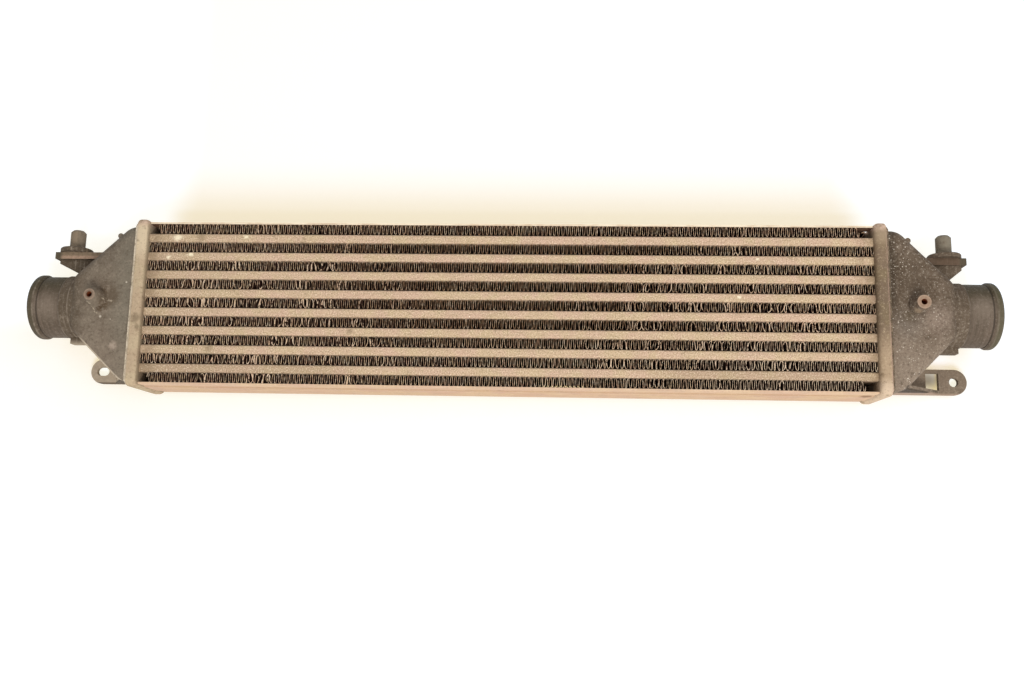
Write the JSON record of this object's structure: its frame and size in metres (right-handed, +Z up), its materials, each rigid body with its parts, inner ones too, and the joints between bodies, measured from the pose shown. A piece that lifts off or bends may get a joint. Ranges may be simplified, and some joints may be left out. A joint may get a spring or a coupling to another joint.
{
  "type": "intercooler",
  "caption": "Air-to-air charge cooler: flat tube-and-fin core between cast end tanks with hose spigots, mounting ears and locating pegs.",
  "frame": {"origin": "on the floor under the middle of the core, the cooler lying on its back", "axes": "+X along the tubes to the right-hand spigot, +Y across the tubes to the locating pegs, +Z up out of the front face"},
  "size_m": [0.7632, 0.135, 0.072],
  "materials": {
    "cast_aluminium": "sand-cast, matte, grey-brown with age",
    "header_sheet": "pressed sheet, matte, dusty",
    "tube_sheet": "brazed flat tube, matte, gritty road dust",
    "fin_foil": "thin foil, matte, dirty",
    "turbulator_foil": "thin foil, clean inside the tubes",
    "side_sheet": "pressed sheet, matte, dusty",
    "weld_metal": "rippled weld bead, dull"
  },
  "bodies": {
    "root": {"fin_row_1": "fin_foil", "fin_row_2": "fin_foil", "fin_row_3": "fin_foil", "fin_row_4": "fin_foil", "fin_row_5": "fin_foil", "fin_row_6": "fin_foil", "fin_row_7": "fin_foil", "fin_row_8": "fin_foil", "fin_row_9": "fin_foil", "header_plate_left": "header_sheet", "header_plate_right": "header_sheet", "side_plate_bottom": "side_sheet", "side_plate_top": "side_sheet", "tank_left": "cast_aluminium", "tank_right": "cast_aluminium", "tube_1": "tube_sheet", "tube_2": "tube_sheet", "tube_3": "tube_sheet", "tube_4": "tube_sheet", "tube_5": "tube_sheet", "tube_6": "tube_sheet", "tube_7": "tube_sheet", "tube_8": "tube_sheet", "turbulator_1": "turbulator_foil", "turbulator_2": "turbulator_foil", "turbulator_3": "turbulator_foil", "turbulator_4": "turbulator_foil", "turbulator_5": "turbulator_foil", "turbulator_6": "turbulator_foil", "turbulator_7": "turbulator_foil", "turbulator_8": "turbulator_foil", "weld_left": "weld_metal", "weld_right": "weld_metal"}
  },
  "joints": []
}
